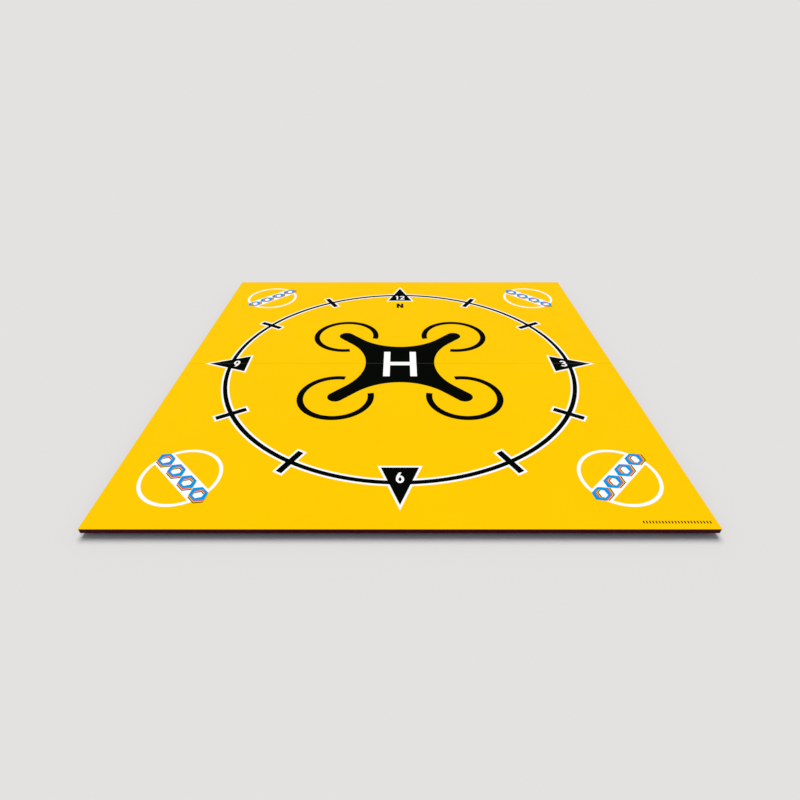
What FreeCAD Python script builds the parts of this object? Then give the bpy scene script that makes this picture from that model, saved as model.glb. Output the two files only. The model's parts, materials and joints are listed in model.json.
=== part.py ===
"""Folding drone landing pad: two film-faced plywood boards joined by a hinge tape along their seam,
under a printed vinyl face, standing on rubber feet that are screwed on.

Millimetres. +Z is up, +X runs along the fold and +Y points to the north (12 o'clock) edge. The origin is
the centre of the pad on the ground. Each colour of the print is a solid one film thick, let in flush
beside its neighbours, so the landing surface is flat. The boards fold upwards about an axis along X,
FOLD_RISE above the landing surface, which leaves twice that between the two printed faces.
"""

import FreeCAD, Part  # noqa: E401  FreeCAD has to come first

import math
import os

Vector = FreeCAD.Vector

# ---------------------------------------------------------------- driving dimensions
PAD_SIDE = 1000.0  # outside of the open pad, both ways
BOARD_T = 9.0  # film-faced birch plywood, seven plies
FILM_T = 0.3  # printed vinyl with its clear anti-slip laminate
FOOT_H = 8.0  # rubber foot, ground to board
CORNER_R = 1.5  # eased vertical corners of the boards
ARRIS = 0.3  # chamfer round each board's lower edge

# fold
BUTT_GAP = 0.2  # between the two boards' seam faces
FOLD_RISE = 0.5  # fold axis above the landing surface
CREASE_W = 4 * FOLD_RISE  # free film and tape over the seam: a little over the half turn it has to make
TAPE_W = 40.0
TAPE_T = 0.3

# feet
FOOT_TOP_R = 15.0
FOOT_GROUND_R = 13.5
FOOT_EDGE_R = 1.0  # rounding where the foot meets the ground
FOOT_WEB = 3.0  # rubber held between the washer and the board
FOOT_RECESS_R = 7.0
FOOT_BORE_R = 2.3
GRIP_RING_R = 10.2  # groove in the foot's ground face
GRIP_RING_W = 1.0
GRIP_RING_D = 0.6
FOOT_EDGE_INSET = 45.0  # foot centre from the pad's outer edges
FOOT_SEAM_INSET = 55.0  # foot centre from the seam
WASHER_R = 6.0
WASHER_BORE_R = 2.15
WASHER_T = 1.0
SCREW_R = 2.0
SCREW_L = 10.0
SCREW_HEAD_R = 4.0
SCREW_HEAD_T = 2.4
SCREW_DOME = 0.8  # rise of the head's crown, within its thickness
SCREW_TIP = 1.5
RECESS_REACH = 2.2  # cross recess, from the middle to a wing's end
RECESS_W = 0.9
RECESS_D = 1.4
PILOT_EXTRA = 0.5  # pilot hole past the screw's tip

# print
PRINT_Y = -1.0  # middle of the print, from the seam

# compass
RING_R = 396.8
RING_W = 9.2
BORDER = 4.2  # white border round everything black in the compass
TICK_L = 62.4
TICK_W = 12.6
POINTER_BASE_R = 358.8
POINTER_TIP_R = 448.6
POINTER_HALF = 34.1
NUMERAL_R = 384.7
NUMERAL_12_R = 380.0
NORTH_Y = 323.7  # middle of the north letter

# numerals and letters
CAP = 26.2  # height of the numerals
STEM = 4.2  # their stroke
ONE_X = -7.8  # middle of the 1 in 12
ONE_FLAG_W = 2.9
ONE_FLAG_DROP = 2.7
TWO_X = 6.4  # middle of the 2 in 12
TWO_HALF_W = 7.0
TWO_LEAN = -28.0  # where the hook runs into the leg, in degrees from 3 o'clock
THREE_UPPER_R = 7.1
THREE_LOWER_R = 7.8
THREE_SWEEP = 250.0  # of each bowl
THREE_BAR = 2.5
SIX_W = 14.4
SIX_BOWL_H = 18.6
SIX_EYE_W = 5.3
SIX_EYE_H = 9.6
SIX_TIP_X = -1.5  # left end of the tail's top
SIX_TIP_W = 4.3
SIX_CROTCH = (-1.2, 8.2)  # where the tail meets the bowl's shoulder, from the bowl's middle
N_WIDTH = 19.0
N_HEIGHT = 28.9
N_STEM = 6.2
H_WIDTH = 77.2
H_HEIGHT = 111.6
H_STEM = 15.2
H_BAR = 15.6

# quadcopter symbol
ROTOR_AT = 137.7  # rotor centres, from the print's centre lines
ARM_HALF = 17.8
WAIST = 81.0  # centre to the middle of each hollow side
ROTOR_R = 75.4
ROTOR_W = 13.7
ROTOR_GAP = 34.2  # half of the opening that faces the pad's centre, in degrees

# corner badges
BADGE_FRONT_AT = 381.6  # badge centres, from the print's centre lines
BADGE_REAR_AT = 379.0
BADGE_R = 71.0
BADGE_LINE = 6.3
BAND_HALF = 18.7
FIGURES = 4
FIGURE_PITCH = 40.5
FIGURE_SIZE = (19.2, 12.8)  # half width and half height of each hexagon
FIGURE_HOLE = (10.2, 9.2)
BADGE_COLOURS = ("blue", "magenta", "yellow", "black")  # the figures, then their shadows going down
FRINGE_STEP = 1.4  # shift of each shadow, to the right of the one above it and as far down

# row of blocks near the right end of the south edge
MARKS = 22
MARK_W = 2.1
MARK_H = 5.4
MARK_PITCH = 5.0
MARKS_RIGHT = 489.7  # right end of the row
MARKS_Y = -484.6

# ---------------------------------------------------------------- levels and places worked out
Z_BOARD = FOOT_H  # underside of the boards
Z_FILM = Z_BOARD + BOARD_T  # underside of the print
WASHER_SEAT = Z_BOARD - FOOT_WEB  # top of the washers
HEAD_SEAT = WASHER_SEAT - WASHER_T  # where the screw heads bear on the washers
SCREW_END = HEAD_SEAT + SCREW_L
HALF = PAD_SIDE / 2
NEAR = 0.01  # tolerance for picking edges by their place
CUT = 3.0  # how far cutting tools overshoot
FOOT_COLUMNS = {"left": -(HALF - FOOT_EDGE_INSET), "middle": 0.0, "right": HALF - FOOT_EDGE_INSET}
FOOT_ROWS = {"seam": FOOT_SEAM_INSET, "edge": HALF - FOOT_EDGE_INSET}  # distance from the seam


# ---------------------------------------------------------------- plates of film, cut to a flat outline
def flat(x, y):
    return Vector(x, y, Z_FILM)


def film(wire):
    return Part.Face(wire).extrude(Vector(0, 0, FILM_T))


def polygon(*points):
    corners = [flat(x, y) for x, y in points]
    return film(Part.makePolygon(corners + corners[:1]))


def rectangle(x0, y0, x1, y1):
    return polygon((x0, y0), (x1, y0), (x1, y1), (x0, y1))


def disc(radius, x=0.0, y=0.0):
    return film(Part.Wire(Part.makeCircle(radius, flat(x, y))))


def tall_ellipse(width, height, y):
    """An upright ellipse on the Y axis, its middle at y."""
    curve = Part.Ellipse(flat(0, y + height / 2), flat(width / 2, y), flat(0, y))
    return film(Part.Wire(curve.toShape()))


def annulus(radius, width):
    return disc(radius + width / 2).cut(disc(radius - width / 2))


def outline(start, *steps):
    """A plate bounded by lines and arcs: a step is the next point, or an arc's middle and end points."""
    edges, here = [], flat(*start)
    for step in steps:
        if isinstance(step[0], tuple):
            middle, there = flat(*step[0]), flat(*step[1])
            edges.append(Part.Arc(here, middle, there).toShape())
        else:
            there = flat(*step)
            edges.append(Part.LineSegment(here, there).toShape())
        here = there
    return film(Part.Wire(edges))


def polar(radius, degrees, x=0.0, y=0.0):
    angle = math.radians(degrees)
    return (x + radius * math.cos(angle), y + radius * math.sin(angle))


def arc_band(radius, width, start, sweep, x, y):
    """Part of an annulus with radial ends; radius is to the middle of its width."""
    inner, outer = radius - width / 2, radius + width / 2
    middle, end = start + sweep / 2, start + sweep
    return outline(
        polar(outer, start, x, y),
        (polar(outer, middle, x, y), polar(outer, end, x, y)),
        polar(inner, end, x, y),
        (polar(inner, middle, x, y), polar(inner, start, x, y)),
        polar(outer, start, x, y),
    )


def turned(shape, degrees):
    moved = shape.copy()
    moved.rotate(Vector(0, 0, 0), Vector(0, 0, 1), degrees)
    return moved


def shifted(shape, x, y):
    moved = shape.copy()
    moved.translate(Vector(x, y, 0))
    return moved


def joined(shapes):
    return shapes[0].fuse(shapes[1:]).removeSplitter()


# ---------------------------------------------------------------- compass
def pointer(border=0.0):
    """The triangle at 3 o'clock, with its outline moved out by border and its corners kept sharp."""
    half_angle = math.atan2(POINTER_HALF, POINTER_TIP_R - POINTER_BASE_R)
    tip = POINTER_TIP_R + border / math.sin(half_angle)
    base = POINTER_BASE_R - border
    half = (tip - base) * math.tan(half_angle)
    return polygon((base, -half), (tip, 0), (base, half))


def tick(border=0.0):
    reach, half = TICK_L / 2 + border, TICK_W / 2 + border
    return rectangle(RING_R - reach, -half, RING_R + reach, half)


def compass(border=0.0):
    marks = [pointer(border) if hour % 3 == 0 else tick(border) for hour in range(12)]
    hours = [turned(mark, 30 * hour) for hour, mark in enumerate(marks)]
    return joined([annulus(RING_R, RING_W + 2 * border)] + hours)


# ---------------------------------------------------------------- numerals and letters about their middles
def numeral_one():
    top, half = CAP / 2, STEM / 2
    tip, drop = -half - ONE_FLAG_W, top - ONE_FLAG_DROP
    flag = [(-half, top), (tip, drop), (tip, drop - STEM), (-half, top - STEM)]
    return polygon((-half, -top), (half, -top), (half, top), *flag)


def numeral_two():
    """A hook of most of a circle, running tangent into a slanting leg that stands on a foot."""
    top, outer, inner = CAP / 2, TWO_HALF_W, TWO_HALF_W - STEM
    centre_y = top - outer
    hook = arc_band(outer - STEM / 2, STEM, TWO_LEAN, 180 - TWO_LEAN, 0, centre_y)
    right = polar(outer, TWO_LEAN, 0, centre_y)
    left = polar(inner, TWO_LEAN, 0, centre_y)
    slope = math.tan(math.radians(TWO_LEAN + 90))
    heel = (-outer, left[1] - (left[0] + outer) * slope)
    toe = (right[0] - (right[1] + top) / slope, -top)
    leg = polygon(right, left, heel, (-outer, -top), toe)
    return joined([hook, leg, rectangle(-outer, -top, outer, -top + STEM)])


def numeral_three():
    """Two bowls open to the left, the lower one larger, with a short bar between them."""
    top, half = CAP / 2, STEM / 2
    upper_y, lower_y = top - THREE_UPPER_R, -top + THREE_LOWER_R
    upper = arc_band(THREE_UPPER_R - half, STEM, -90, THREE_SWEEP, 0, upper_y)
    lower = arc_band(THREE_LOWER_R - half, STEM, 90 - THREE_SWEEP, THREE_SWEEP, 0, lower_y)
    waist = (upper_y - THREE_UPPER_R + lower_y + THREE_LOWER_R) / 2
    return joined([upper, lower, rectangle(-THREE_BAR, waist - half, 0, waist + half)])


def numeral_six():
    """An oval bowl whose left flank runs on, tangent, into a tail up to the right."""
    top, half_w = CAP / 2, SIX_W / 2
    bowl_y = SIX_BOWL_H / 2 - top
    rise, run = top - bowl_y, SIX_TIP_X + half_w
    radius = (run * run + rise * rise) / (2 * run)
    half_sweep = math.degrees(math.asin(rise / radius)) / 2
    middle = polar(radius, 180 - half_sweep, radius - half_w, bowl_y)
    tail = outline(
        (-half_w, bowl_y),
        (middle, (SIX_TIP_X, top)),
        (SIX_TIP_X + SIX_TIP_W, top),
        (SIX_CROTCH[0], bowl_y + SIX_CROTCH[1]),
        (0, bowl_y),
        (-half_w, bowl_y),
    )
    whole = joined([tall_ellipse(SIX_W, SIX_BOWL_H, bowl_y), tail])
    return whole.cut(tall_ellipse(SIX_EYE_W, SIX_EYE_H, bowl_y))


def letter_n():
    top, half = N_HEIGHT / 2, N_WIDTH / 2
    left = rectangle(-half, -top, -half + N_STEM, top)
    right = rectangle(half - N_STEM, -top, half, top)
    slant = polygon((-half, top), (half - N_STEM, -top), (half, -top), (-half + N_STEM, top))
    return joined([left, right, slant])


def letter_h():
    half_w, half_h, half_bar = H_WIDTH / 2, H_HEIGHT / 2, H_BAR / 2
    left = rectangle(-half_w, -half_h, -half_w + H_STEM, half_h)
    right = rectangle(half_w - H_STEM, -half_h, half_w, half_h)
    return joined([left, right, rectangle(-half_w, -half_bar, half_w, half_bar)])


def numerals():
    """The four hours by node name. All of them stand upright for someone at the south edge."""
    six = numeral_six()
    twelve = Part.makeCompound([shifted(numeral_one(), ONE_X, 0), shifted(numeral_two(), TWO_X, 0)])
    return {
        "numeral_12": shifted(twelve, 0, NUMERAL_12_R),
        "numeral_3": shifted(numeral_three(), NUMERAL_R, 0),
        "numeral_6": shifted(six, 0, -NUMERAL_R),
        "numeral_9": shifted(turned(six, 180), -NUMERAL_R, 0),
    }


# ---------------------------------------------------------------- quadcopter symbol
def drone_body():
    """Four round-ended arms on the diagonals, joined by hollow sides that run tangent into them."""
    diagonal = math.sqrt(0.5)
    hollow_at = (WAIST - ARM_HALF) / (1 - diagonal)
    reach = (hollow_at - WAIST) * diagonal
    cap = ARM_HALF * diagonal
    hollow = ((WAIST, 0), (hollow_at - reach, reach))
    arm_end = ((ROTOR_AT + cap, ROTOR_AT + cap), (ROTOR_AT - cap, ROTOR_AT + cap))
    quarter = [hollow, (ROTOR_AT + cap, ROTOR_AT - cap), arm_end, (reach, hollow_at - reach)]
    steps = []
    for side in range(4):
        steps += [turned_step(step, side) for step in quarter]
    return outline((hollow_at - reach, -reach), *steps)


def turned_step(step, quarter_turns):
    """One step of an outline, turned about the pad's centre."""
    if isinstance(step[0], tuple):
        return tuple(turned_step(point, quarter_turns) for point in step)
    for _ in range(quarter_turns):
        step = (-step[1], step[0])
    return step


def rotor_arc(side_x, side_y):
    towards_centre = math.degrees(math.atan2(-side_y, -side_x))
    start, sweep = towards_centre + ROTOR_GAP, 360 - 2 * ROTOR_GAP
    return arc_band(ROTOR_R, ROTOR_W, start, sweep, side_x * ROTOR_AT, side_y * ROTOR_AT)


# ---------------------------------------------------------------- corner badges
def hexagon(half_w, half_h):
    """Corners at its left and right ends."""
    flat_half = half_w / 2
    upper = [(half_w, 0), (flat_half, half_h), (-flat_half, half_h)]
    return polygon(*upper, *[(-x, -y) for x, y in upper])


def badge(side_x, side_y):
    """The art of one corner by colour: a band across the corner's diagonal, read from the pad's left."""
    turn = -45 * side_x * side_y
    at = BADGE_REAR_AT if side_y > 0 else BADGE_FRONT_AT

    def put(shape):
        return shifted(turned(shape, turn), side_x * at, side_y * at)

    figure = hexagon(*FIGURE_SIZE).cut(hexagon(*FIGURE_HOLE))
    places = [(i - (FIGURES - 1) / 2) * FIGURE_PITCH for i in range(FIGURES)]
    rise = (len(BADGE_COLOURS) - 1) / 2 * FRINGE_STEP
    layers, covered = {}, []
    for step, colour in enumerate(BADGE_COLOURS):
        shift = step * FRINGE_STEP
        copies = [put(shifted(figure, x + shift, rise - shift)) for x in places]
        layers[colour] = [copy.cut(covered) for copy in copies] if covered else copies
        covered = covered + copies
    ring = disc(BADGE_R).cut(disc(BADGE_R - BADGE_LINE))
    band = disc(BADGE_R).common(rectangle(-BADGE_R, -BAND_HALF, BADGE_R, BAND_HALF))
    layers["frame"] = [put(joined([ring, band])).cut(covered)]
    return layers


def scale_marks():
    start = MARKS_RIGHT - (MARKS - 1) * MARK_PITCH - MARK_W
    low, high = MARKS_Y - MARK_H / 2, MARKS_Y + MARK_H / 2
    lefts = [start + i * MARK_PITCH for i in range(MARKS)]
    return Part.makeCompound([rectangle(left, low, left + MARK_W, high) for left in lefts])


# ---------------------------------------------------------------- the two printed faces
def pad_half(side_y):
    """All of one half's film: square at the crease, eased at the pad's outer corners."""
    near, far = side_y * CREASE_W / 2, side_y * HALF
    bend = far - side_y * CORNER_R
    inset = CORNER_R * (1 - math.sqrt(0.5))
    return outline(
        (-HALF, near),
        (HALF, near),
        (HALF, bend),
        ((HALF - inset, far - side_y * inset), (HALF - CORNER_R, far)),
        (-HALF + CORNER_R, far),
        ((-HALF + inset, far - side_y * inset), (-HALF, bend)),
        (-HALF, near),
    )


def print_areas(side_y, suffix):
    """Every printed area on one half by node name, none of them overlapping another.

    They are made about the print's own middle, and then moved to where it lies on the boards.
    """
    half = shifted(pad_half(side_y), 0, -PRINT_Y)
    black, white, letter = compass(), compass(BORDER), letter_h()
    areas, digits = {}, []
    for name, digit in numerals().items():
        part = digit.common(half)
        if part.Solids:
            on_both_halves = name in ("numeral_3", "numeral_9")
            areas[f"{name}_{suffix}" if on_both_halves else name] = part
            digits.append(part)
    if side_y > 0:
        areas["north_letter"] = shifted(letter_n(), 0, NORTH_Y)
    else:
        areas["scale_marks_front"] = scale_marks()
    areas[f"compass_ring_{suffix}"] = black.common(half).cut(digits)
    areas[f"compass_border_{suffix}"] = white.common(half).cut(black)
    areas[f"landing_h_{suffix}"] = letter.common(half)
    areas[f"drone_body_{suffix}"] = drone_body().common(half).cut(letter)
    badge_layers = {colour: [] for colour in BADGE_COLOURS}
    for side_x, hand in ((-1, "left"), (1, "right")):
        areas[f"rotor_arc_{suffix}_{hand}"] = rotor_arc(side_x, side_y)
        art = badge(side_x, side_y)
        areas[f"badge_frame_{suffix}_{hand}"] = art["frame"][0]
        for colour in BADGE_COLOURS:
            badge_layers[colour] += art[colour]
    for colour, plates in badge_layers.items():
        areas[f"badge_{colour}_{suffix}"] = Part.makeCompound(plates)
    areas[f"print_ground_{suffix}"] = half.cut(list(areas.values()))
    return {name: shifted(plates, 0, PRINT_Y) for name, plates in areas.items()}


# ---------------------------------------------------------------- boards, hinge tape and crease
def board():
    """The north board: eased outer corners and lower edges, a rebate for the tape, pilot holes."""
    seam = BUTT_GAP / 2
    plate = Part.makeBox(PAD_SIDE, HALF - seam, BOARD_T, Vector(-HALF, seam, Z_BOARD))
    uprights = [e for e in plate.Edges if e.BoundBox.ZLength > NEAR and e.BoundBox.YMin > HALF - NEAR]
    plate = plate.makeFillet(CORNER_R, uprights)
    low = [e for e in plate.Edges if e.BoundBox.ZMax < Z_BOARD + NEAR]
    plate = plate.makeChamfer(ARRIS, [e for e in low if e.BoundBox.YMax > seam + NEAR])
    rebate = Part.makeBox(PAD_SIDE + 2 * CUT, TAPE_W / 2 + CUT, TAPE_T + CUT)
    rebate.translate(Vector(-HALF - CUT, -CUT, Z_FILM - TAPE_T))
    pilots = [pilot_hole(x, y) for x in FOOT_COLUMNS.values() for y in FOOT_ROWS.values()]
    return plate.cut([rebate, seam_bevel(seam)] + pilots)


def seam_bevel(seam):
    """Cuts the seam's upper edge back at 45 degrees from the width of the crease."""
    floor, lip = Z_FILM - TAPE_T, CREASE_W / 2
    low = floor - (lip - seam) - CUT
    profile = [(seam - CUT, low), (lip, floor), (lip, floor + CUT), (seam - CUT, floor + CUT)]
    corners = [Vector(-HALF - CUT, y, z) for y, z in profile]
    face = Part.Face(Part.makePolygon(corners + corners[:1]))
    return face.extrude(Vector(PAD_SIDE + 2 * CUT, 0, 0))


def hinge_tape():
    return Part.makeBox(PAD_SIDE, TAPE_W, TAPE_T, Vector(-HALF, -TAPE_W / 2, Z_FILM - TAPE_T))


def print_crease():
    return Part.makeBox(PAD_SIDE, CREASE_W, FILM_T, Vector(-HALF, -CREASE_W / 2, Z_FILM))


# ---------------------------------------------------------------- feet and their fasteners
def upright(radius, height):
    return Vector(radius, 0, height)


def lines_through(*profile):
    points = [upright(r, z) for r, z in profile]
    return [Part.LineSegment(a, b).toShape() for a, b in zip(points, points[1:])]


def turned_solid(edges):
    """The solid of revolution about Z of a closed profile in the XZ plane."""
    return Part.Face(Part.Wire(edges)).revolve(Vector(0, 0, 0), Vector(0, 0, 1), 360)


def foot(x, y):
    groove_in, groove_out = GRIP_RING_R - GRIP_RING_W / 2, GRIP_RING_R + GRIP_RING_W / 2
    profile = lines_through(
        (FOOT_RECESS_R, 0),
        (groove_in, 0),
        (groove_in, GRIP_RING_D),
        (groove_out, GRIP_RING_D),
        (groove_out, 0),
        (FOOT_GROUND_R, 0),
        (FOOT_TOP_R, Z_BOARD),
        (FOOT_BORE_R, Z_BOARD),
        (FOOT_BORE_R, WASHER_SEAT),
        (FOOT_RECESS_R, WASHER_SEAT),
        (FOOT_RECESS_R, 0),
    )
    body = turned_solid(profile)
    ground = [e for e in body.Edges if e.BoundBox.ZMax < NEAR]
    rim = [e for e in ground if e.BoundBox.XLength > 2 * FOOT_GROUND_R - NEAR]
    return shifted(body.makeFillet(FOOT_EDGE_R, rim), x, y)


def washer(x, y):
    plate = Part.makeCylinder(WASHER_R, WASHER_T, Vector(x, y, HEAD_SEAT))
    return plate.cut(Part.makeCylinder(WASHER_BORE_R, WASHER_T, Vector(x, y, HEAD_SEAT)))


def screw(x, y):
    """A pan-head wood screw, head down, with a domed crown and a cross recess."""
    crown = HEAD_SEAT - SCREW_HEAD_T
    shoulder = crown + SCREW_DOME
    dome_r = (SCREW_HEAD_R**2 + SCREW_DOME**2) / (2 * SCREW_DOME)
    middle = upright(SCREW_HEAD_R / 2, crown + dome_r - math.sqrt(dome_r**2 - SCREW_HEAD_R**2 / 4))
    dome = Part.Arc(upright(0, crown), middle, upright(SCREW_HEAD_R, shoulder)).toShape()
    sides = lines_through(
        (SCREW_HEAD_R, shoulder),
        (SCREW_HEAD_R, HEAD_SEAT),
        (SCREW_R, HEAD_SEAT),
        (SCREW_R, SCREW_END - SCREW_TIP),
        (0, SCREW_END),
        (0, crown),
    )
    recess = Part.makeBox(2 * RECESS_REACH, RECESS_W, RECESS_D + CUT)
    recess.translate(Vector(-RECESS_REACH, -RECESS_W / 2, crown - CUT))
    return shifted(turned_solid([dome] + sides).cut([recess, turned(recess, 90)]), x, y)


def pilot_hole(x, y):
    hole = Part.makeCylinder(SCREW_R, SCREW_END + PILOT_EXTRA - Z_BOARD + CUT)
    hole.translate(Vector(x, y, Z_BOARD - CUT))
    return hole


# ---------------------------------------------------------------- writing the nodes
def write(name, *shapes):
    solids = [solid for shape in shapes for solid in shape.Solids]
    for solid in solids:
        assert solid.isValid() and solid.Volume > 0, name
    whole = solids[0] if len(solids) == 1 else Part.makeCompound(solids)
    whole.exportStep(f"parts/{name}.step")


def write_half(side_y, suffix):
    write(f"board_{suffix}", board() if side_y > 0 else turned(board(), 180))
    for name, plates in print_areas(side_y, suffix).items():
        write(name, plates)
    places = []
    for row, from_seam in FOOT_ROWS.items():
        for column, x in FOOT_COLUMNS.items():
            write(f"foot_{suffix}_{row}_{column}", foot(x, side_y * from_seam))
            places.append((x, side_y * from_seam))
    write(f"foot_washers_{suffix}", *[washer(x, y) for x, y in places])
    write(f"foot_screws_{suffix}", *[screw(x, y) for x, y in places])


def main():
    os.makedirs("parts", exist_ok=True)
    write_half(1, "rear")
    write_half(-1, "front")
    write("hinge_tape", hinge_tape())
    write("print_crease", print_crease())


main()
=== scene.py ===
"""Folding drone landing pad: the print, its crease over the fold, and the finish of every part.

The boards, feet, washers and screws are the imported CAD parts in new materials. The print takes the place
of the CAD's colour plates. It is one triangulation, cut along every border between colours, so that areas
that meet share their vertices, and it is cut again on both sides of the fold, where it bends.
"""

import json
import math
from collections import defaultdict

import bpy
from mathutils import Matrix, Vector
from mathutils.geometry import delaunay_2d_cdt


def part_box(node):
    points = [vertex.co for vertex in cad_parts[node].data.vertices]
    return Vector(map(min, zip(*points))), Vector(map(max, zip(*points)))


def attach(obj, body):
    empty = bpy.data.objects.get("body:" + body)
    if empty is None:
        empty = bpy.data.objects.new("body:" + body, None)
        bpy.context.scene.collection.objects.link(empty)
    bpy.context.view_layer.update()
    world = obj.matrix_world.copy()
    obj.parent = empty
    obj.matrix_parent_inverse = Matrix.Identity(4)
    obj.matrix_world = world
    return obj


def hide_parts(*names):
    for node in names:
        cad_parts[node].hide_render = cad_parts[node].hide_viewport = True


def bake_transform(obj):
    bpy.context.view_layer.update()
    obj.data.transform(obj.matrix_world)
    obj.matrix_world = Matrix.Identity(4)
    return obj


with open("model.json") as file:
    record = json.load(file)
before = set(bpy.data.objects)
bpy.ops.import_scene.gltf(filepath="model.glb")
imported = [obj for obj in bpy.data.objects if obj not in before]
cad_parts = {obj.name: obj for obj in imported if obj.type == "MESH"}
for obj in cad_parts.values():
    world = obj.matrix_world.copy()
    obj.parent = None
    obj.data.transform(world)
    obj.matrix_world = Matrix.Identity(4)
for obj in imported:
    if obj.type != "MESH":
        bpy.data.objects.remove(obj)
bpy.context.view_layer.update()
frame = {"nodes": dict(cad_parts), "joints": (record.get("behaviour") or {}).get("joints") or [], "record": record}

MM = 0.001
NODE_SLOTS = {part["node"]: part["material_slot"] for part in frame["record"]["subparts"]}

# ---------------------------------------------------------------- the print's dimensions, in millimetres
PRINT_Y = -1.0  # middle of the print, from the seam

# compass
RING_R = 396.8
RING_W = 9.2
BORDER = 4.2  # white border round everything black in the compass
TICK_L = 62.4
TICK_W = 12.6
POINTER_BASE_R = 358.8
POINTER_TIP_R = 448.6
POINTER_HALF = 34.1
NUMERAL_R = 384.7
NUMERAL_12_R = 380.0
NORTH_Y = 323.7  # middle of the north letter

# numerals and letters
CAP = 26.2  # height of the numerals
STEM = 4.2  # their stroke
ONE_X = -7.8  # middle of the 1 in 12
ONE_FLAG_W = 2.9
ONE_FLAG_DROP = 2.7
TWO_X = 6.4  # middle of the 2 in 12
TWO_HALF_W = 7.0
TWO_LEAN = -28.0  # where the hook runs into the leg, in degrees from 3 o'clock
THREE_UPPER_R = 7.1
THREE_LOWER_R = 7.8
THREE_SWEEP = 250.0  # of each bowl
THREE_BAR = 2.5
SIX_W = 14.4
SIX_BOWL_H = 18.6
SIX_EYE_W = 5.3
SIX_EYE_H = 9.6
SIX_TIP_X = -1.5  # left end of the tail's top
SIX_TIP_W = 4.3
SIX_CROTCH = (-1.2, 8.2)  # where the tail meets the bowl's shoulder, from the bowl's middle
N_WIDTH = 19.0
N_HEIGHT = 28.9
N_STEM = 6.2
H_WIDTH = 77.2
H_HEIGHT = 111.6
H_STEM = 15.2
H_BAR = 15.6

# quadcopter symbol
ROTOR_AT = 137.7  # rotor centres, from the print's centre lines
ARM_HALF = 17.8
WAIST = 81.0  # centre to the middle of each hollow side
ROTOR_R = 75.4
ROTOR_W = 13.7
ROTOR_GAP = 34.2  # half of the opening that faces the pad's centre, in degrees

# corner badges
BADGE_FRONT_AT = 381.6  # badge centres, from the print's centre lines
BADGE_REAR_AT = 379.0
BADGE_R = 71.0
BADGE_LINE = 6.3
BAND_HALF = 18.7
FIGURES = 4
FIGURE_PITCH = 40.5
FIGURE_SIZE = (19.2, 12.8)  # half width and half height of each hexagon
FIGURE_HOLE = (10.2, 9.2)
BADGE_COLOURS = ("blue", "magenta", "yellow", "black")  # the figures, then their shadows going down
FRINGE_STEP = 1.4  # shift of each shadow, to the right of the one above it and as far down

# row of blocks near the right end of the south edge
MARKS = 22
MARK_W = 2.1
MARK_H = 5.4
MARK_PITCH = 5.0
MARKS_RIGHT = 489.7  # right end of the row
MARKS_Y = -484.6

# corners and fold
CORNER_R = 1.5
FOLD_LINE_W = 1.1  # the line along the middle of the crease: yellow film showing through worn ink, darkened with painted shade of the groove
BEND_LINES = (0.0, 0.25, 0.5, 0.8)  # further cuts along the crease, as shares of its half width

# ---------------------------------------------------------------- what the frame gives, in millimetres
ground_low, ground_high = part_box("print_ground_rear")
crease_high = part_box("print_crease")[1]
tape_low, tape_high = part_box("hinge_tape")
HALF = ground_high.x / MM
CREASE_HALF = crease_high.y / MM
FILM_LOW, FILM_HIGH = ground_low.z / MM, ground_high.z / MM
FOLD_AXIS = Vector(frame["joints"][0]["pos_m"])
SAGITTA = 0.02  # how far a chord may stand off its arc
MERGE = 1e-4  # points nearer than this are one


# ---------------------------------------------------------------- outlines, as lists of points
def polar(radius, degrees, x=0.0, y=0.0):
    angle = math.radians(degrees)
    return (x + radius * math.cos(angle), y + radius * math.sin(angle))


def arc(radius, start, sweep, x=0.0, y=0.0):
    widest = math.degrees(2 * math.acos(1 - SAGITTA / radius))
    steps = max(2, math.ceil(abs(sweep) / widest))
    return [polar(radius, start + sweep * i / steps, x, y) for i in range(steps + 1)]


def circle(radius, x=0.0, y=0.0):
    return arc(radius, 0, 360, x, y)[:-1]


def ellipse(width, height, y):
    """An upright ellipse on the Y axis, its middle at y."""
    return [(px * width / height, py + y) for px, py in circle(height / 2)]


def band(radius, width, start, sweep, x=0.0, y=0.0):
    """Part of an annulus with radial ends; radius is to the middle of its width."""
    outer = arc(radius + width / 2, start, sweep, x, y)
    inner = arc(radius - width / 2, start, sweep, x, y)
    return outer + inner[::-1]


def rectangle(x0, y0, x1, y1):
    return [(x0, y0), (x1, y0), (x1, y1), (x0, y1)]


def turned(outline, degrees):
    c, s = math.cos(math.radians(degrees)), math.sin(math.radians(degrees))
    return [(x * c - y * s, x * s + y * c) for x, y in outline]


def shifted(outline, x, y):
    return [(px + x, py + y) for px, py in outline]


def anticlockwise(outline):
    following = outline[1:] + outline[:1]
    area = sum(x0 * y1 - x1 * y0 for (x0, y0), (x1, y1) in zip(outline, following))
    return outline if area > 0 else outline[::-1]


# ---------------------------------------------------------------- compass
def pointer(border=0.0):
    """The triangle at 3 o'clock, with its outline moved out by border and its corners kept sharp."""
    half_angle = math.atan2(POINTER_HALF, POINTER_TIP_R - POINTER_BASE_R)
    tip = POINTER_TIP_R + border / math.sin(half_angle)
    base = POINTER_BASE_R - border
    half = (tip - base) * math.tan(half_angle)
    return [(base, -half), (tip, 0), (base, half)]


def tick(border=0.0):
    reach, half = TICK_L / 2 + border, TICK_W / 2 + border
    return rectangle(RING_R - reach, -half, RING_R + reach, half)


def hour_marks(border=0.0):
    marks = [pointer(border) if hour % 3 == 0 else tick(border) for hour in range(12)]
    return [turned(mark, 30 * hour) for hour, mark in enumerate(marks)]


# ---------------------------------------------------------------- numerals and letters about their middles
def numeral_one():
    top, half = CAP / 2, STEM / 2
    tip, drop = -half - ONE_FLAG_W, top - ONE_FLAG_DROP
    flag = [(-half, top), (tip, drop), (tip, drop - STEM), (-half, top - STEM)]
    return [[(-half, -top), (half, -top), (half, top)] + flag]


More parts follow.
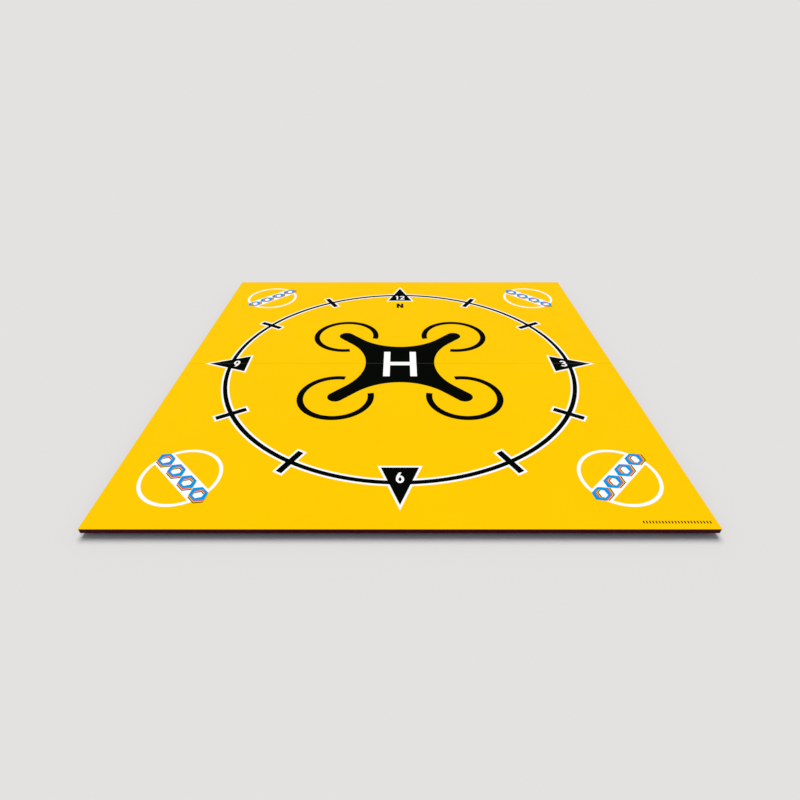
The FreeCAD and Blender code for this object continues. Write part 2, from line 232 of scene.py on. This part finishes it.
def numeral_two():
    """A hook of most of a circle, running tangent into a slanting leg that stands on a foot."""
    top, outer, inner = CAP / 2, TWO_HALF_W, TWO_HALF_W - STEM
    centre_y = top - outer
    hook = band(outer - STEM / 2, STEM, TWO_LEAN, 180 - TWO_LEAN, 0, centre_y)
    right = polar(outer, TWO_LEAN, 0, centre_y)
    left = polar(inner, TWO_LEAN, 0, centre_y)
    slope = math.tan(math.radians(TWO_LEAN + 90))
    heel = (-outer, left[1] - (left[0] + outer) * slope)
    toe = (right[0] - (right[1] + top) / slope, -top)
    return [hook, [right, left, heel, (-outer, -top), toe], rectangle(-outer, -top, outer, -top + STEM)]


def numeral_three():
    """Two bowls open to the left, the lower one larger, with a short bar between them."""
    top, half = CAP / 2, STEM / 2
    upper_y, lower_y = top - THREE_UPPER_R, -top + THREE_LOWER_R
    upper = band(THREE_UPPER_R - half, STEM, -90, THREE_SWEEP, 0, upper_y)
    lower = band(THREE_LOWER_R - half, STEM, 90 - THREE_SWEEP, THREE_SWEEP, 0, lower_y)
    waist = (upper_y - THREE_UPPER_R + lower_y + THREE_LOWER_R) / 2
    return [upper, lower, rectangle(-THREE_BAR, waist - half, 0, waist + half)]


def numeral_six():
    """An oval bowl whose left flank runs on, tangent, into a tail up to the right."""
    top, half_w = CAP / 2, SIX_W / 2
    bowl_y = SIX_BOWL_H / 2 - top
    rise, run = top - bowl_y, SIX_TIP_X + half_w
    radius = (run * run + rise * rise) / (2 * run)
    flank = arc(radius, 180, -math.degrees(math.asin(rise / radius)), radius - half_w, bowl_y)
    crotch = (SIX_CROTCH[0], bowl_y + SIX_CROTCH[1])
    tail = flank + [(SIX_TIP_X + SIX_TIP_W, top), crotch, (0, bowl_y)]
    return [ellipse(SIX_W, SIX_BOWL_H, bowl_y), tail], [ellipse(SIX_EYE_W, SIX_EYE_H, bowl_y)]


def letter_n():
    top, half = N_HEIGHT / 2, N_WIDTH / 2
    left = rectangle(-half, -top, -half + N_STEM, top)
    right = rectangle(half - N_STEM, -top, half, top)
    return [left, right, [(-half, top), (half - N_STEM, -top), (half, -top), (-half + N_STEM, top)]]


def letter_h():
    half_w, half_h, half_bar = H_WIDTH / 2, H_HEIGHT / 2, H_BAR / 2
    left = rectangle(-half_w, -half_h, -half_w + H_STEM, half_h)
    right = rectangle(half_w - H_STEM, -half_h, half_w, half_h)
    return [left, right, rectangle(-half_w, -half_bar, half_w, half_bar)]


# ---------------------------------------------------------------- quadcopter symbol
def drone_body():
    """Four round-ended arms on the diagonals, joined by hollow sides that run tangent into them."""
    hollow_at = (WAIST - ARM_HALF) / (1 - math.sqrt(0.5))
    hollow = arc(hollow_at - WAIST, 225, -90, hollow_at, 0)
    quarter = hollow + arc(ARM_HALF, -45, 180, ROTOR_AT, ROTOR_AT)
    return [point for side in range(4) for point in turned(quarter, 90 * side)]


def rotor_arc(side_x, side_y):
    towards_centre = math.degrees(math.atan2(-side_y, -side_x))
    start, sweep = towards_centre + ROTOR_GAP, 360 - 2 * ROTOR_GAP
    return band(ROTOR_R, ROTOR_W, start, sweep, side_x * ROTOR_AT, side_y * ROTOR_AT)


# ---------------------------------------------------------------- painting, the later layers over the earlier
layers = []  # (node name with {} for the half, outlines, holes)


def paint(area, outlines, holes=(), y=PRINT_Y):
    outlines, holes = ([anticlockwise(shifted(o, 0, y)) for o in group] for group in (outlines, holes))
    layers.append((area, outlines, holes))


def paint_compass():
    for area, border in (("compass_border_{}", BORDER), ("compass_ring_{}", 0.0)):
        reach = RING_W / 2 + border
        paint(area, [circle(RING_R + reach)], [circle(RING_R - reach)])
        paint(area, hour_marks(border))


def paint_numerals():
    """The four hours. All of them stand upright for someone at the south edge."""
    for digit, x in ((numeral_one(), ONE_X), (numeral_two(), TWO_X)):
        paint("numeral_12", [shifted(o, x, NUMERAL_12_R) for o in digit])
    paint("numeral_3_{}", [shifted(o, NUMERAL_R, 0) for o in numeral_three()])
    for area, turn, x, y in (("numeral_6", 0, 0, -NUMERAL_R), ("numeral_9_{}", 180, -NUMERAL_R, 0)):
        strokes, eye = [[shifted(turned(o, turn), x, y) for o in outlines] for outlines in numeral_six()]
        paint(area, strokes)
        paint("compass_ring_{}", eye)
    paint("north_letter", [shifted(o, 0, NORTH_Y) for o in letter_n()])


def hexagon(half_w, half_h):
    """Corners at its left and right ends."""
    flat = half_w / 2
    return [(half_w, 0), (flat, half_h), (-flat, half_h), (-half_w, 0), (-flat, -half_h), (flat, -half_h)]


def paint_badge(side_x, side_y, hand):
    """A band across the corner's diagonal, read from the pad's left, with a row of hexagons on it."""
    turn = -45 * side_x * side_y
    at = BADGE_REAR_AT if side_y > 0 else BADGE_FRONT_AT

    def put(outline):
        return shifted(turned(outline, turn), side_x * at, side_y * at)

    reach = math.sqrt((BADGE_R - BADGE_LINE / 2) ** 2 - BAND_HALF**2)  # its corners end within the ring
    frame_area = "badge_frame_{}_" + hand
    paint(frame_area, [put(circle(BADGE_R))], [put(circle(BADGE_R - BADGE_LINE))])
    paint(frame_area, [put(rectangle(-reach, -BAND_HALF, reach, BAND_HALF))])
    places = [(i - (FIGURES - 1) / 2) * FIGURE_PITCH for i in range(FIGURES)]
    rise = (len(BADGE_COLOURS) - 1) / 2 * FRINGE_STEP
    for step, colour in reversed(list(enumerate(BADGE_COLOURS))):
        shift = step * FRINGE_STEP
        figures, holes = (
            [put(shifted(hexagon(*size), x + shift, rise - shift)) for x in places]
            for size in (FIGURE_SIZE, FIGURE_HOLE)
        )
        paint("badge_" + colour + "_{}", figures, holes)


def paint_marks():
    start = MARKS_RIGHT - (MARKS - 1) * MARK_PITCH - MARK_W
    low, high = MARKS_Y - MARK_H / 2, MARKS_Y + MARK_H / 2
    lefts = [start + i * MARK_PITCH for i in range(MARKS)]
    paint("scale_marks_front", [rectangle(left, low, left + MARK_W, high) for left in lefts])


def paint_pad():
    corner = arc(CORNER_R, 0, 90, HALF - CORNER_R, HALF - CORNER_R)
    paint("print_ground_{}", [[point for side in range(4) for point in turned(corner, 90 * side)]], y=0.0)
    paint_compass()
    paint_numerals()
    paint("drone_body_{}", [drone_body()])
    paint("landing_h_{}", letter_h())
    for side_x, hand in ((-1, "left"), (1, "right")):
        for side_y in (-1, 1):
            paint(f"rotor_arc_{{}}_{hand}", [rotor_arc(side_x, side_y)])
            paint_badge(side_x, side_y, hand)
    paint_marks()


# ---------------------------------------------------------------- from the layers to closed plates
def seam_cuts():
    """Distances from the seam where the print and the tape are divided."""
    return sorted({CREASE_HALF, FOLD_LINE_W / 2} | {share * CREASE_HALF for share in BEND_LINES})


def triangulated():
    """Every triangle of the pad's face with the top layer that it lies in: (points, [(area, corners)])."""
    points, faces, roles = [], [], []
    for order, (_, outlines, holes) in enumerate(layers):
        for kind, group in (("outline", outlines), ("hole", holes)):
            for outline in group:
                faces.append(list(range(len(points), len(points) + len(outline))))
                roles.append((kind, order))
                points += outline
    edges = []
    for y in seam_cuts():
        for line in {y, -y}:
            edges.append((len(points), len(points) + 1))
            points += [(-HALF, line), (HALF, line)]
    flat = [Vector(point) for point in points]
    made, _, triangles, _, _, sources = delaunay_2d_cdt(flat, edges, faces, 0, MERGE)
    labelled = []
    for corners, inside in zip(triangles, sources):
        found = [roles[face] for face in inside]
        bare = {order for kind, order in found if kind == "hole"}
        top = max(order for kind, order in found if kind == "outline" and order not in bare)
        labelled.append((layers[top][0], corners))
    return made, labelled


def zone(points, corners):
    y = sum(points[corner].y for corner in corners) / len(corners)
    if abs(y) > CREASE_HALF:
        return "rear" if y > 0 else "front"
    return "crease" if abs(y) > FOLD_LINE_W / 2 else "fold_line"


def plate(name, points, triangles, low, high):
    """A closed plate, from low to high, over those triangles of the plan."""
    used = sorted({corner for corners in triangles for corner in corners})
    upper = {corner: i for i, corner in enumerate(used)}
    lower = {corner: i + len(used) for i, corner in enumerate(used)}
    sides = {(c[i - 1], c[i]) for c in triangles for i in range(len(c))}
    faces = [[upper[corner] for corner in corners] for corners in triangles]
    faces += [[lower[corner] for corner in reversed(corners)] for corners in triangles]
    faces += [[lower[a], lower[b], upper[b], upper[a]] for a, b in sorted(sides) if (b, a) not in sides]
    plan = [(points[corner].x * MM, points[corner].y * MM) for corner in used]
    vertices = [(x, y, high * MM) for x, y in plan] + [(x, y, low * MM) for x, y in plan]
    return mesh_object(name, vertices, faces)


def mesh_object(name, vertices, faces):
    mesh = bpy.data.meshes.new(name)
    mesh.from_pydata(vertices, [], faces)
    mesh.validate()
    made = bpy.data.objects.new(name, mesh)
    bpy.context.scene.collection.objects.link(made)
    return made


def bend_over_fold(piece):
    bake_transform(piece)


# ---------------------------------------------------------------- materials
def add(tree, kind, inputs=None, **settings):
    """A node with its settings, and its inputs: each a value or another node's output."""
    made = tree.nodes.new("ShaderNode" + kind)
    for key, value in settings.items():
        setattr(made, key, value)
    for key, value in (inputs or {}).items():
        if isinstance(value, bpy.types.NodeSocket):
            tree.links.new(value, made.inputs[key])
        else:
            made.inputs[key].default_value = value
    return made


def blank(name):
    material = bpy.data.materials.new(name)
    material.use_nodes = True
    tree = material.node_tree
    return material, tree, tree.nodes["Principled BSDF"]


def place(tree):
    return add(tree, "TexCoord").outputs["Object"]


def noise(tree, where, size, detail=2.0, roughness=0.5, stretch=None):
    """Noise with features of about that size, in metres; stretch divides the size along X, Y and Z."""
    if stretch:
        where = add(tree, "Mapping", {"Vector": where, "Scale": stretch}).outputs["Vector"]
    inputs = {"Vector": where, "Scale": 1 / size, "Detail": detail, "Roughness": roughness}
    return add(tree, "TexNoise", inputs).outputs["Fac"]


def ranged(tree, value, low, high, start=0.3, end=0.7):
    """value from start..end taken to low..high, and held there outside it."""
    inputs = {"Value": value, "From Min": start, "From Max": end, "To Min": low, "To Max": high}
    return add(tree, "MapRange", inputs).outputs["Result"]


def calc(tree, operation, a, b):
    made = add(tree, "Math", operation=operation)
    for socket, value in zip(made.inputs, (a, b)):
        if isinstance(value, bpy.types.NodeSocket):
            tree.links.new(value, socket)
        else:
            socket.default_value = value
    return made.outputs["Value"]


def mixed(tree, share, a, b):
    """Colour a where share is 0 and colour b where it is 1."""
    made = add(tree, "Mix", data_type="RGBA")
    sockets = {s.identifier: s for s in made.inputs}
    for key, value in (("Factor_Float", share), ("A_Color", a), ("B_Color", b)):
        if isinstance(value, bpy.types.NodeSocket):
            tree.links.new(value, sockets[key])
        else:
            sockets[key].default_value = value
    return next(s for s in made.outputs if s.identifier == "Result_Color")


def opaque(colour):
    return (*colour, 1.0)


def toned(tree, colour, value):
    """colour, an RGB triple or a socket, made lighter or darker by the factor value."""
    if not isinstance(colour, bpy.types.NodeSocket):
        colour = opaque(colour)
    return add(tree, "HueSaturation", {"Color": colour, "Value": value}).outputs["Color"]


def bumped(tree, height, depth, strength=1.0):
    inputs = {"Height": height, "Distance": depth, "Strength": strength}
    return add(tree, "Bump", inputs).outputs["Normal"]


LAMINATE_PITCH = 0.0011  # grain of the anti-slip laminate over the print, in metres
LAMINATE_DEPTH = 0.00005


def laminate(tree, where):
    """Height of the laminate's fine pebble grain."""
    pebbles = add(tree, "TexVoronoi", {"Vector": where, "Scale": 1 / LAMINATE_PITCH}, feature="SMOOTH_F1")
    grit = noise(tree, where, LAMINATE_PITCH / 2)
    return calc(tree, "ADD", calc(tree, "MULTIPLY", pebbles.outputs["Distance"], -1.0), grit)


def vinyl(name, colour, unevenness=0.03, gloss=0.03, rough=(0.5, 0.66)):
    """Printed film under its laminate: ink a little uneven, and scuffed here and there."""
    material, tree, shader = blank(name)
    where = place(tree)
    drift = ranged(tree, noise(tree, where, 0.22, 3.0), -unevenness / 2, unevenness / 2)
    speckle = ranged(tree, noise(tree, where, 0.0018), -unevenness / 2, unevenness / 2)
    value = calc(tree, "ADD", calc(tree, "ADD", drift, speckle), 1.0)
    tree.links.new(toned(tree, colour, value), shader.inputs["Base Color"])
    worn = ranged(tree, noise(tree, where, 0.06, 4.0), *rough)
    tree.links.new(worn, shader.inputs["Roughness"])
    tree.links.new(bumped(tree, laminate(tree, where), LAMINATE_DEPTH, 0.5), shader.inputs["Normal"])
    shader.inputs["Specular IOR Level"].default_value = gloss
    return material


inks = {
    "vinyl_yellow": vinyl("printed_yellow", (0.87, 0.522, 0.0)),
    "vinyl_black": vinyl("printed_black", (0.0012, 0.0018, 0.0009), unevenness=0.3, gloss=0.01),
    "vinyl_white": vinyl("printed_white", (0.87, 0.87, 0.87), unevenness=0.02),
    "vinyl_blue": vinyl("printed_blue", (0.0, 0.277, 0.681)),
    "vinyl_magenta": vinyl("printed_magenta", (0.62, 0.012, 0.19)),
}
# Inks of the line along the fold: the yellow film shows through where the ink wore at the fold, and the yellow is
# painted darker as shade of the fold's groove
crease_wear_and_shade = {
    "vinyl_yellow": vinyl("creased_yellow", (0.6, 0.38, 0.0), unevenness=0.2),
    "vinyl_black": vinyl("creased_black", (0.06, 0.05, 0.021), unevenness=0.5),
    "vinyl_white": vinyl("creased_white", (0.83, 0.64, 0.045), unevenness=0.2),
}

PLIES = 7
SEAL_LAP = 0.003  # how far the edge seal laps on to the underside, in metres
MESH_PITCH = 0.0032  # wire-mesh imprint of the press on the phenolic film
PLY_WANDER = 0.0004  # how far the ply lines stray, in metres
BOARD_RELIEF = 0.00006  # depth of the mesh imprint and of the brush marks in the seal
SEALED = (0.062, 0.002, 0.0043)  # oxblood edge seal
PHENOLIC = (0.045, 0.0155, 0.0085)


def waves(tree, value, pitch):
    """A wave from -1 to 1 that repeats each time value grows by pitch."""
    return calc(tree, "SINE", calc(tree, "MULTIPLY", value, 2 * math.pi / pitch), 0.0)


def film_faced_plywood(low, high):
    """Sealed edges with the plies showing through, and a phenolic underside with its mesh imprint."""
    material, tree, shader = blank("film_faced_plywood")
    where = place(tree)
    axes = add(tree, "SeparateXYZ", {"Vector": where}).outputs
    x, y, z = axes["X"], axes["Y"], axes["Z"]
    outer = [calc(tree, "SUBTRACT", high.x, calc(tree, "ABSOLUTE", axis, 0.0)) for axis in (x, y)]
    margin = calc(tree, "MINIMUM", calc(tree, "MINIMUM", *outer), calc(tree, "ABSOLUTE", y, 0.0))
    ragged = ranged(tree, noise(tree, where, 0.012, 3.0), 0.4 * SEAL_LAP, SEAL_LAP)
    lap = calc(tree, "LESS_THAN", margin, ragged)
    side = calc(tree, "GREATER_THAN", z, low.z + 0.05 * MM)
    sealed = calc(tree, "MAXIMUM", lap, side)

    wavy = calc(tree, "ADD", z, ranged(tree, noise(tree, where, 0.05), 0.0, PLY_WANDER))
    ply = waves(tree, wavy, (high.z - low.z) / PLIES)
    brush = noise(tree, where, 0.0008, 3.0, stretch=(0.02, 0.02, 1.0))
    seal_value = calc(tree, "ADD", ranged(tree, brush, 0.86, 1.14), calc(tree, "MULTIPLY", ply, 0.05))
    grain = noise(tree, where, 0.004, 4.0, stretch=(0.04, 1.0, 1.0))
    clouds = ranged(tree, noise(tree, where, 0.15), -0.1, 0.1)
    face_value = calc(tree, "ADD", ranged(tree, grain, 0.75, 1.2), clouds)
    colour = mixed(tree, sealed, toned(tree, PHENOLIC, face_value), toned(tree, SEALED, seal_value))
    tree.links.new(colour, shader.inputs["Base Color"])

    wires = calc(tree, "MAXIMUM", waves(tree, x, MESH_PITCH), waves(tree, y, MESH_PITCH))
    edge_height = calc(tree, "ADD", calc(tree, "MULTIPLY", ply, 0.2), brush)
    face_height = calc(tree, "MULTIPLY", wires, calc(tree, "SUBTRACT", 1.0, sealed))
    height = calc(tree, "ADD", face_height, calc(tree, "MULTIPLY", edge_height, sealed))
    tree.links.new(bumped(tree, height, BOARD_RELIEF, 0.7), shader.inputs["Normal"])
    tree.links.new(ranged(tree, noise(tree, where, 0.03, 3.0), 0.38, 0.55), shader.inputs["Roughness"])
    shader.inputs["Specular IOR Level"].default_value = 0.05
    return material


RUBBER = (0.011, 0.011, 0.012)
DUST = (0.09, 0.085, 0.078)


def foot_rubber():
    """Moulded rubber with a fine grain and pale dust in it."""
    material, tree, shader = blank("foot_rubber")
    where = place(tree)
    grain = noise(tree, where, 0.0006, 3.0)
    dust = ranged(tree, noise(tree, where, 0.007, 4.0), 0.0, 0.35, 0.48, 0.75)
    colour = mixed(tree, dust, opaque(RUBBER), opaque(DUST))
    tree.links.new(colour, shader.inputs["Base Color"])
    tree.links.new(ranged(tree, grain, 0.62, 0.85), shader.inputs["Roughness"])
    tree.links.new(bumped(tree, grain, 0.0001, 0.6), shader.inputs["Normal"])
    shader.inputs["Specular IOR Level"].default_value = 0.3
    return material


ZINC = (0.56, 0.57, 0.6)
PASSIVATED = (0.6, 0.52, 0.36)


def zinc_plated_steel():
    """Bright zinc with a patchy yellow passivation and fine scratches."""
    material, tree, shader = blank("zinc_plated_steel")
    where = place(tree)
    patches = ranged(tree, noise(tree, where, 0.003, 3.0), 0.0, 1.0)
    colour = mixed(tree, patches, opaque(ZINC), opaque(PASSIVATED))
    tree.links.new(colour, shader.inputs["Base Color"])
    shader.inputs["Metallic"].default_value = 1.0
    scratches = noise(tree, where, 0.0004, 2.0, stretch=(0.15, 1.0, 1.0))
    tree.links.new(ranged(tree, scratches, 0.24, 0.44), shader.inputs["Roughness"])
    tree.links.new(bumped(tree, scratches, 0.00003, 0.3), shader.inputs["Normal"])
    return material


TAPE_THREAD = 0.0006  # repeat of the weave, in metres
TAPE_COAT = (0.034, 0.032, 0.03)


def tape_cloth():
    """Coated cloth tape: a plain weave that shows through a dark grey coat."""
    material, tree, shader = blank("hinge_tape")
    where = place(tree)
    axes = add(tree, "SeparateXYZ", {"Vector": where}).outputs
    weave = calc(tree, "MULTIPLY", waves(tree, axes["X"], TAPE_THREAD), waves(tree, axes["Y"], TAPE_THREAD))
    coat = ranged(tree, noise(tree, where, 0.02, 3.0), 0.8, 1.2)
    value = calc(tree, "ADD", coat, calc(tree, "MULTIPLY", weave, 0.1))
    tree.links.new(toned(tree, TAPE_COAT, value), shader.inputs["Base Color"])
    tree.links.new(ranged(tree, noise(tree, where, 0.004), 0.55, 0.75), shader.inputs["Roughness"])
    tree.links.new(bumped(tree, weave, 0.00004, 0.6), shader.inputs["Normal"])
    shader.inputs["Specular IOR Level"].default_value = 0.2
    return material


def refinish(material, *nodes):
    """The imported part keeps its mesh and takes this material."""
    for name in nodes:
        frame["nodes"][name].data.materials.clear()
        frame["nodes"][name].data.materials.append(material)


def with_slot(slot):
    return [name for name, given in NODE_SLOTS.items() if given == slot]


refinish(film_faced_plywood(*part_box("board_rear")), *with_slot("film_faced_plywood"))
refinish(foot_rubber(), *with_slot("foot_rubber"))
refinish(zinc_plated_steel(), *with_slot("zinc_plated_steel"))


# ---------------------------------------------------------------- the print's pieces
paint_pad()
plan, areas = triangulated()
halves, middle = defaultdict(list), defaultdict(list)
for area, corners in areas:
    part = zone(plan, corners)
    if part in ("rear", "front"):
        halves[area.format(part), part].append(corners)
    else:
        middle[part, NODE_SLOTS[area.format("rear") if "{}" in area else area]].append(corners)

for (node, side), triangles in halves.items():
    ink = NODE_SLOTS[node]
    piece = plate("film_" + node, plan, triangles, FILM_LOW, FILM_HIGH)
    piece.data.materials.append(inks[ink])
    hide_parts(node)
    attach(piece, side + "_half")

for (part, ink), triangles in middle.items():
    piece = plate(part + ink.replace("vinyl", ""), plan, triangles, FILM_LOW, FILM_HIGH)
    # the fold line takes the worn inks with their painted groove shade
    piece.data.materials.append((crease_wear_and_shade if part == "fold_line" else inks)[ink])
    bend_over_fold(piece)
    if (part, ink) == ("fold_line", "vinyl_yellow"):
        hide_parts("print_crease")


def hinge_strip():
    """The tape under the print, divided where it bends."""
    reach = tape_high.y / MM
    lines = sorted({side * y for y in seam_cuts() + [reach] for side in (-1, 1)})
    points = [Vector((x, y)) for y in lines for x in (-HALF, HALF)]
    rows = range(len(lines) - 1)
    quads = [[2 * row, 2 * row + 1, 2 * row + 3, 2 * row + 2] for row in rows]
    return plate("hinge_strip", points, quads, tape_low.z / MM, tape_high.z / MM)


strip = hinge_strip()
strip.data.materials.append(tape_cloth())
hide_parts("hinge_tape")
bend_over_fold(strip)


# ---------------------------------------------------------------- camera, light and floor
SIDE = 2 * HALF * MM  # of the pad, in metres
CAMERA_BACK = 0.52713 * SIDE  # from the pad's near edge
CAMERA_UP = 0.61396 * SIDE  # above the landing surface
CAMERA_DOWN = 35.014  # degrees below the horizontal
LENS = 22.76  # in millimetres, on the default sensor
FLOOR_COLOUR = (0.659, 0.651, 0.646)
BACKDROP = (0.767, 0.760, 0.752)  # what the camera sees past the floor
SKY = 0.36
SKY_COLOUR = (0.94, 0.98, 1.1)
SUN = 2.82
SUN_COLOUR = (1.027, 1.009, 0.955)
SUN_HEIGHT = 64.0  # degrees above the horizontal, behind the pad
SUN_SPREAD = 40.0  # degrees across
FLOOR_REACH = 40.0  # half its side, in metres

scene = bpy.context.scene
scene.view_settings.view_transform = "Standard"

camera_data = bpy.data.cameras.new("camera")
camera_data.lens = LENS
camera = bpy.data.objects.new("camera", camera_data)
camera.location = (0, -HALF * MM - CAMERA_BACK, FILM_HIGH * MM + CAMERA_UP)
camera.rotation_euler = (math.radians(90 - CAMERA_DOWN), 0, 0)
scene.collection.objects.link(camera)
scene.camera = camera

sun_data = bpy.data.lights.new("sun", "SUN")
sun_data.energy = SUN
sun_data.color = SUN_COLOUR
sun_data.angle = math.radians(SUN_SPREAD)
sun = bpy.data.objects.new("sun", sun_data)
sun.rotation_euler = (math.radians(SUN_HEIGHT - 90), 0, 0)
sun.visible_glossy = False
scene.collection.objects.link(sun)

world = bpy.data.worlds.new("studio")
world.use_nodes = True
sky = world.node_tree
sky.nodes.clear()
seen = add(sky, "LightPath").outputs["Is Camera Ray"]
lit = add(sky, "Background", {"Color": opaque(SKY_COLOUR), "Strength": SKY}).outputs["Background"]
shown = add(sky, "Background", {"Color": opaque(BACKDROP), "Strength": 1.0}).outputs["Background"]
blend = add(sky, "MixShader", {"Fac": seen})
sky.links.new(lit, blend.inputs[1])
sky.links.new(shown, blend.inputs[2])
sky.links.new(blend.outputs["Shader"], add(sky, "OutputWorld").inputs["Surface"])
scene.world = world

floor_sides = ((-1, -1), (1, -1), (1, 1), (-1, 1))
floor_corners = [(x * FLOOR_REACH, y * FLOOR_REACH, 0) for x, y in floor_sides]
floor = mesh_object("floor", floor_corners, [[0, 1, 2, 3]])
floor_material, floor_tree, floor_shader = blank("floor")
floor_shader.inputs["Base Color"].default_value = opaque(FLOOR_COLOUR)
floor_shader.inputs["Roughness"].default_value = 1.0
floor_shader.inputs["Specular IOR Level"].default_value = 0.0
one_sided = add(floor_tree, "MixShader", {"Fac": add(floor_tree, "NewGeometry").outputs["Backfacing"]})
floor_tree.links.new(floor_shader.outputs["BSDF"], one_sided.inputs[1])
floor_tree.links.new(add(floor_tree, "BsdfTransparent").outputs["BSDF"], one_sided.inputs[2])
floor_tree.links.new(one_sided.outputs["Shader"], floor_tree.nodes["Material Output"].inputs["Surface"])
floor.data.materials.append(floor_material)
